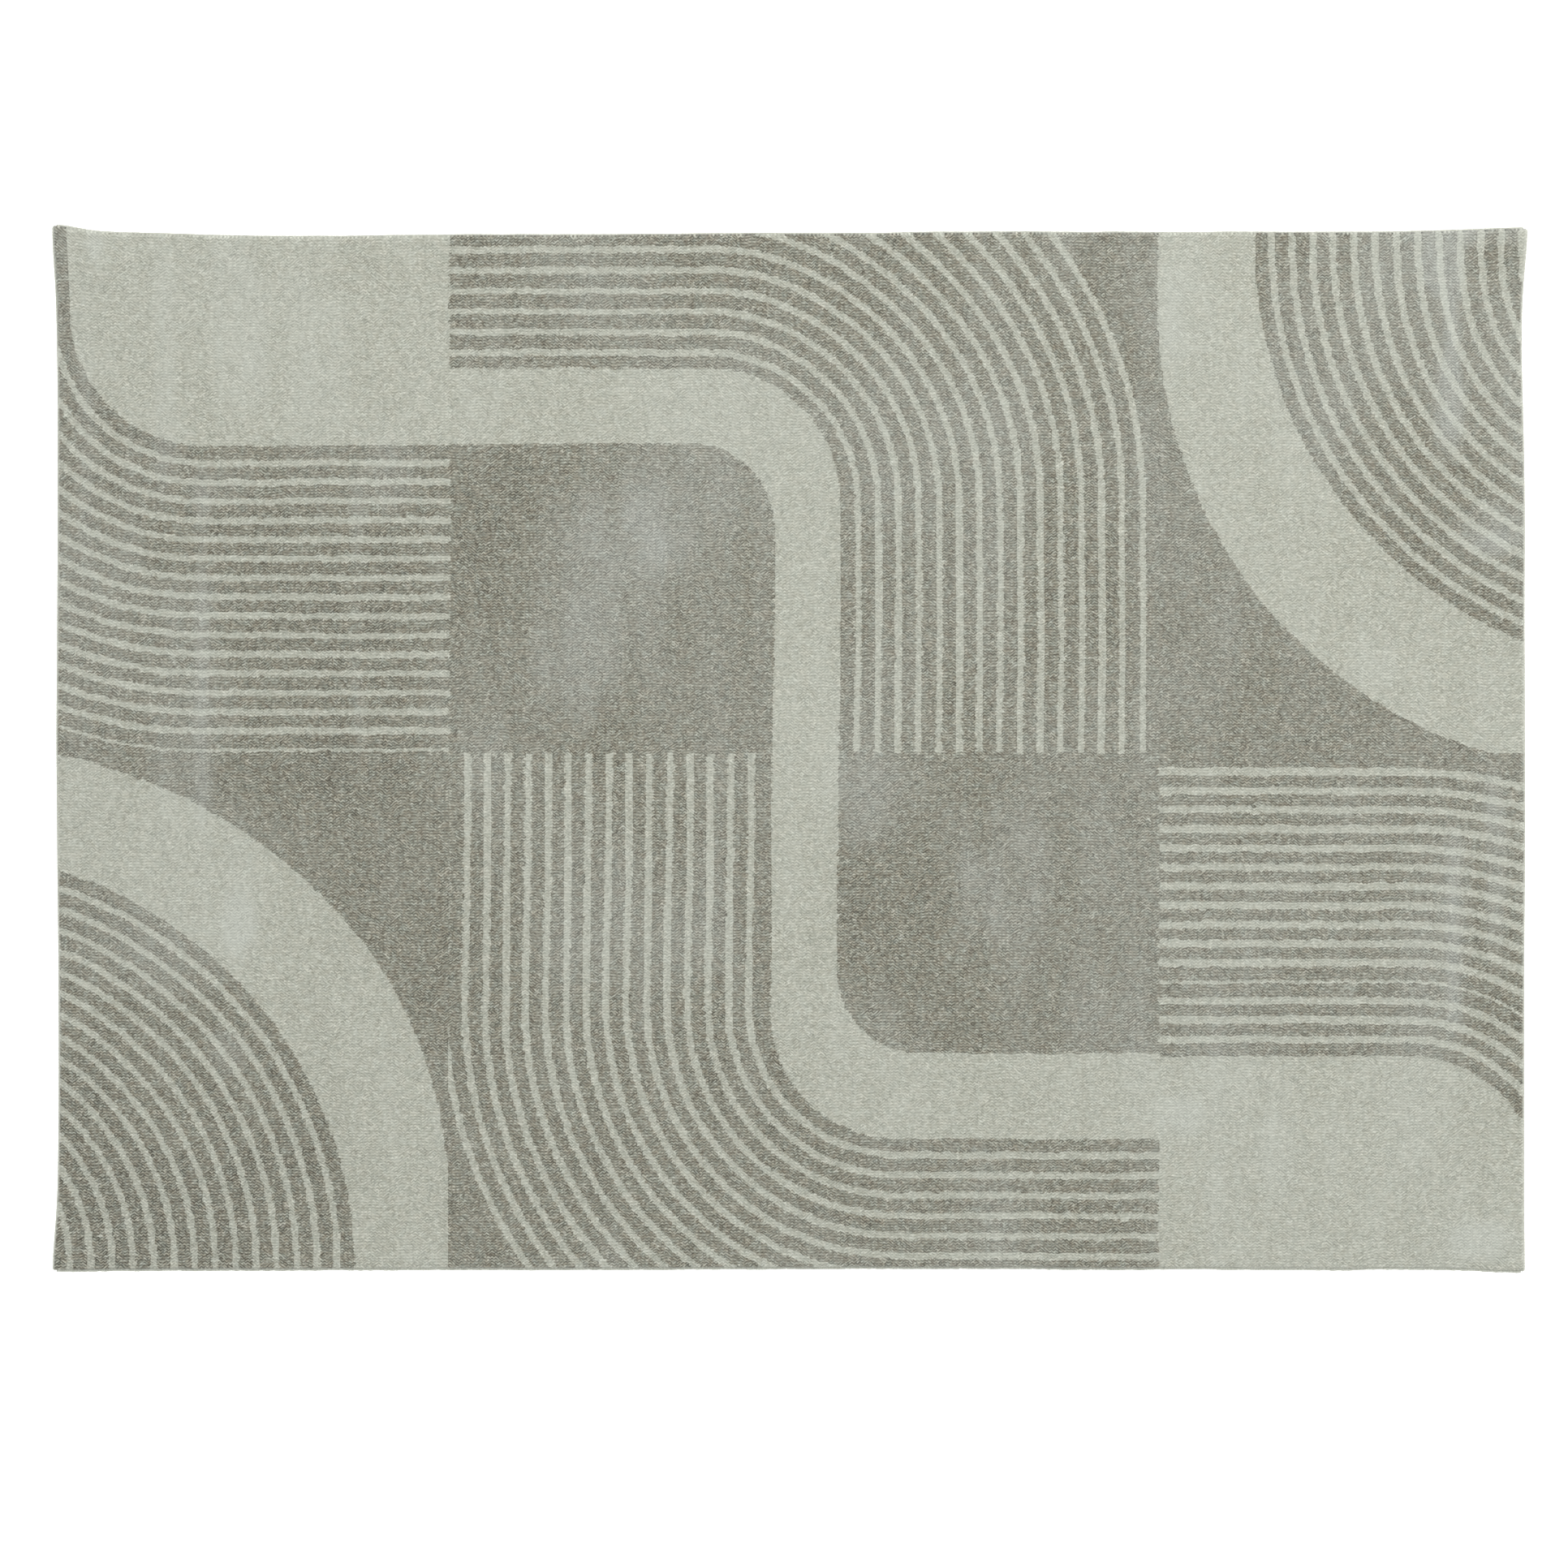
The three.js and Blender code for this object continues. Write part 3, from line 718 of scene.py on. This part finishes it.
def pile_material(name, stops, cast_strength, sheen_colour, sheen_amount, groove_shade):
    """Cut pile: tufts of slightly different tones, with painted shade in the grooves and a paler painted
    sheen where the nap is brushed up.
    """
    material, tree, shader = nodes_of(name)
    place = add_node(tree, "ShaderNodeTexCoord").outputs["Object"]
    strands = {"Vector": place, "Scale": 900.0, "Detail": 3.0}
    fibre = add_node(tree, "ShaderNodeTexNoise", strands).outputs["Fac"]
    tone = add_node(tree, "ShaderNodeAttribute", attribute_name="tone").outputs["Fac"]
    tuft_share = math_node(tree, "MULTIPLY", tone, 0.75)
    fibre_share = math_node(tree, "MULTIPLY", fibre, 0.25)
    colour = ramp_node(tree, math_node(tree, "ADD", tuft_share, fibre_share), stops)
    flecks = {"Vector": place, "Scale": 90.0, "Detail": 6.0}
    cast = add_node(tree, "ShaderNodeTexNoise", flecks).outputs["Fac"]
    tint = ramp_node(tree, cast, [(0.35, (0.965, 1.0, 1.02)), (0.65, (1.045, 1.0, 0.985))])
    colour = mix_colours(tree, cast_strength, colour, tint, "MULTIPLY")
    # Painted sheen: the colour is mixed towards a paler one where the nap is brushed up and catches the
    # light.
    nap_sheen_amount = add_node(tree, "ShaderNodeAttribute", attribute_name="nap_sheen").outputs["Fac"]
    sheen_mix = math_node(tree, "MULTIPLY", nap_sheen_amount, sheen_amount)
    colour = mix_colours(tree, sheen_mix, colour, sheen_colour)
    # Painted shade: the colour darkens with the depth between tufts, where shade falls in the grooves; less
    # under the painted nap sheen, more where it is below 0.
    depth = add_node(tree, "ShaderNodeAttribute", attribute_name="depth").outputs["Fac"]
    groove_shade_share = math_node(tree, "SUBTRACT", 1.05, math_node(tree, "MULTIPLY", nap_sheen_amount, 0.18))
    groove = math_node(tree, "MULTIPLY", depth, groove_shade_share)
    shade = math_node(tree, "SUBTRACT", 1.0, math_node(tree, "MULTIPLY", groove, groove_shade))
    grey = add_node(tree, "ShaderNodeCombineXYZ", {0: shade, 1: shade, 2: shade}).outputs[0]
    colour = mix_colours(tree, 1.0, colour, grey, "MULTIPLY")
    tree.links.new(colour, shader.inputs["Base Color"])
    bump = add_node(tree, "ShaderNodeBump", {"Height": fibre, "Strength": 0.5, "Distance": 0.0006})
    tree.links.new(bump.outputs[0], shader.inputs["Normal"])
    rough = math_node(tree, "ADD", 0.82, math_node(tree, "MULTIPLY", tone, 0.15))
    tree.links.new(rough, shader.inputs["Roughness"])
    shader.inputs["Specular IOR Level"].default_value = 0.2
    shader.inputs["Sheen Weight"].default_value = 0.15
    shader.inputs["Sheen Roughness"].default_value = 0.5
    return material


def yarn_material(name, dark, light, scale, stretch):
    """Thread or woven yarn, with fine strands and a little colour variation."""
    material, tree, shader = nodes_of(name)
    place = add_node(tree, "ShaderNodeTexCoord").outputs["Object"]
    stretched = add_node(tree, "ShaderNodeMapping", {"Vector": place, "Scale": stretch}).outputs[0]
    strand = add_node(tree, "ShaderNodeTexNoise", {"Vector": stretched, "Scale": scale, "Detail": 4.0})
    colour = ramp_node(tree, strand.outputs["Fac"], [(0.3, dark), (0.7, light)])
    tree.links.new(colour, shader.inputs["Base Color"])
    height = strand.outputs["Fac"]
    bump = add_node(tree, "ShaderNodeBump", {"Height": height, "Strength": 0.6, "Distance": 0.0005})
    tree.links.new(bump.outputs[0], shader.inputs["Normal"])
    rough = math_node(tree, "ADD", 0.75, math_node(tree, "MULTIPLY", height, 0.2))
    tree.links.new(rough, shader.inputs["Roughness"])
    shader.inputs["Specular IOR Level"].default_value = 0.25
    return material


def coat_material(name, light, dark, gap):
    """Back of the rug: the tufts' roots in rows, seen through a thin milky coat."""
    material, tree, shader = nodes_of(name)
    place = add_node(tree, "ShaderNodeTexCoord").outputs["Object"]
    rows = {"Brick Width": PITCH_X * MM, "Row Height": PITCH_Y * MM, "Scale": 1.0}
    gaps = {"Mortar Size": 0.0005, "Mortar Smooth": 1.0}
    colours = {"Color1": (*light, 1), "Color2": (*dark, 1), "Mortar": (*gap, 1)}
    knots = add_node(tree, "ShaderNodeTexBrick", {"Vector": place, **rows, **gaps, **colours})
    clouds = {"Vector": place, "Scale": 35.0, "Detail": 6.0}
    film = add_node(tree, "ShaderNodeTexNoise", clouds).outputs["Fac"]
    milky = mix_colours(tree, film, knots.outputs["Color"], light)
    tree.links.new(milky, shader.inputs["Base Color"])
    raised = math_node(tree, "SUBTRACT", film, knots.outputs["Fac"])
    bump = add_node(tree, "ShaderNodeBump", {"Height": raised, "Strength": 0.5, "Distance": 0.0005})
    tree.links.new(bump.outputs[0], shader.inputs["Normal"])
    rough = math_node(tree, "ADD", 0.5, math_node(tree, "MULTIPLY", film, 0.3))
    tree.links.new(rough, shader.inputs["Roughness"])
    return material


def make_materials():
    sage_stops = [
        (0.1, srgb(194, 195, 179)),
        (0.5, srgb(215, 216, 201)),
        (0.9, srgb(233, 234, 220)),
    ]
    grey_stops = [
        (0.1, srgb(153, 147, 131)),
        (0.35, srgb(184, 181, 163)),
        (0.6, srgb(201, 201, 184)),
        (0.8, srgb(220, 220, 204)),
        (0.93, srgb(244, 244, 232)),
    ]
    return {
        "sage": pile_material("sage_pile", sage_stops, 0.35, srgb(218, 221, 211), 0.5, 0.5),
        "grey": pile_material("grey_pile", grey_stops, 0.9, srgb(214, 217, 210), 0.5, 0.8),
        "edge": yarn_material("edge_yarn", srgb(176, 177, 164), srgb(216, 217, 206), 500.0, (1, 1, 1)),
        "jute": yarn_material("jute_weave", srgb(150, 124, 84), srgb(200, 176, 134), 300.0, (1, 4, 1)),
        "coat": coat_material("back_coat", srgb(212, 202, 178), srgb(198, 187, 160), srgb(178, 162, 130)),
    }


# ---------------------------------------------------------------- stage
FRAME_WIDTH = 1816  # what the picture shows across, at the rug
CAMERA_LENS, SENSOR_WIDTH = 85, 36
CAMERA_AT = (-7.5, -36)
FLOOR_HALF, FLOOR_LEVEL = 30000, -0.5
WINDOW_SIZE, WINDOW_AT, WINDOW_AIM = (4.0, 2.5), (1.6, 3.3, 4.5), (0.2, 0, 0)  # in metres


def make_floor():
    """A large white floor just under the rug."""
    floor_material, _, shader = nodes_of("floor_white")
    shader.inputs["Base Color"].default_value = (0.93, 0.93, 0.93, 1)
    shader.inputs["Roughness"].default_value = 0.9
    shader.inputs["Specular IOR Level"].default_value = 0.1
    shader.inputs["Emission Color"].default_value = (1, 1, 1, 1)
    shader.inputs["Emission Strength"].default_value = 0.7
    corners = [(-1, -1), (1, -1), (1, 1), (-1, 1)]
    points = [(x * FLOOR_HALF, y * FLOOR_HALF, FLOOR_LEVEL) for x, y in corners]
    floor = new_object("floor", np.array(points, dtype=float), [[0, 1, 2, 3]], floor_material)


def make_lights():
    """A soft white world all round, and one large window lamp above the upper right."""
    world = bpy.data.worlds.new("soft_studio")
    world.use_nodes = True
    world.node_tree.nodes["Background"].inputs["Color"].default_value = (0.97, 0.99, 1, 1)
    world.node_tree.nodes["Background"].inputs["Strength"].default_value = 0.84
    bpy.context.scene.world = world
    lamp = bpy.data.lights.new("window", "AREA")
    lamp.shape = "RECTANGLE"
    lamp.size, lamp.size_y = WINDOW_SIZE
    lamp.energy = 120
    lamp.color = (1, 0.985, 0.96)
    window = bpy.data.objects.new("window", lamp)
    window.location = WINDOW_AT
    window.rotation_euler = (Vector(WINDOW_AIM) - window.location).to_track_quat("-Z", "Y").to_euler()
    bpy.context.scene.collection.objects.link(window)


def make_camera():
    """A camera straight above the rug."""
    camera = bpy.data.cameras.new("camera")
    camera.lens = CAMERA_LENS
    camera.sensor_width = SENSOR_WIDTH
    camera.clip_end = 100
    holder = bpy.data.objects.new("camera", camera)
    distance = FRAME_WIDTH * CAMERA_LENS / camera.sensor_width
    holder.location = (CAMERA_AT[0] * MM, CAMERA_AT[1] * MM, (distance + GREY_TOP) * MM)
    bpy.context.scene.collection.objects.link(holder)
    bpy.context.scene.camera = holder
    bpy.context.scene.view_settings.view_transform = "Standard"


make_camera()
make_floor()
make_lights()
materials = make_materials()
pile = make_pile(materials)
left = make_binding(-1, "left_edge_binding", materials["edge"])
right = make_binding(1, "right_edge_binding", materials["edge"])
lower_hem = make_hem(-1, "lower_edge_hem", materials["edge"])
upper_hem = make_hem(1, "upper_edge_hem", materials["edge"])
weave = make_weave(materials["jute"])
coat = make_coat(materials["coat"])
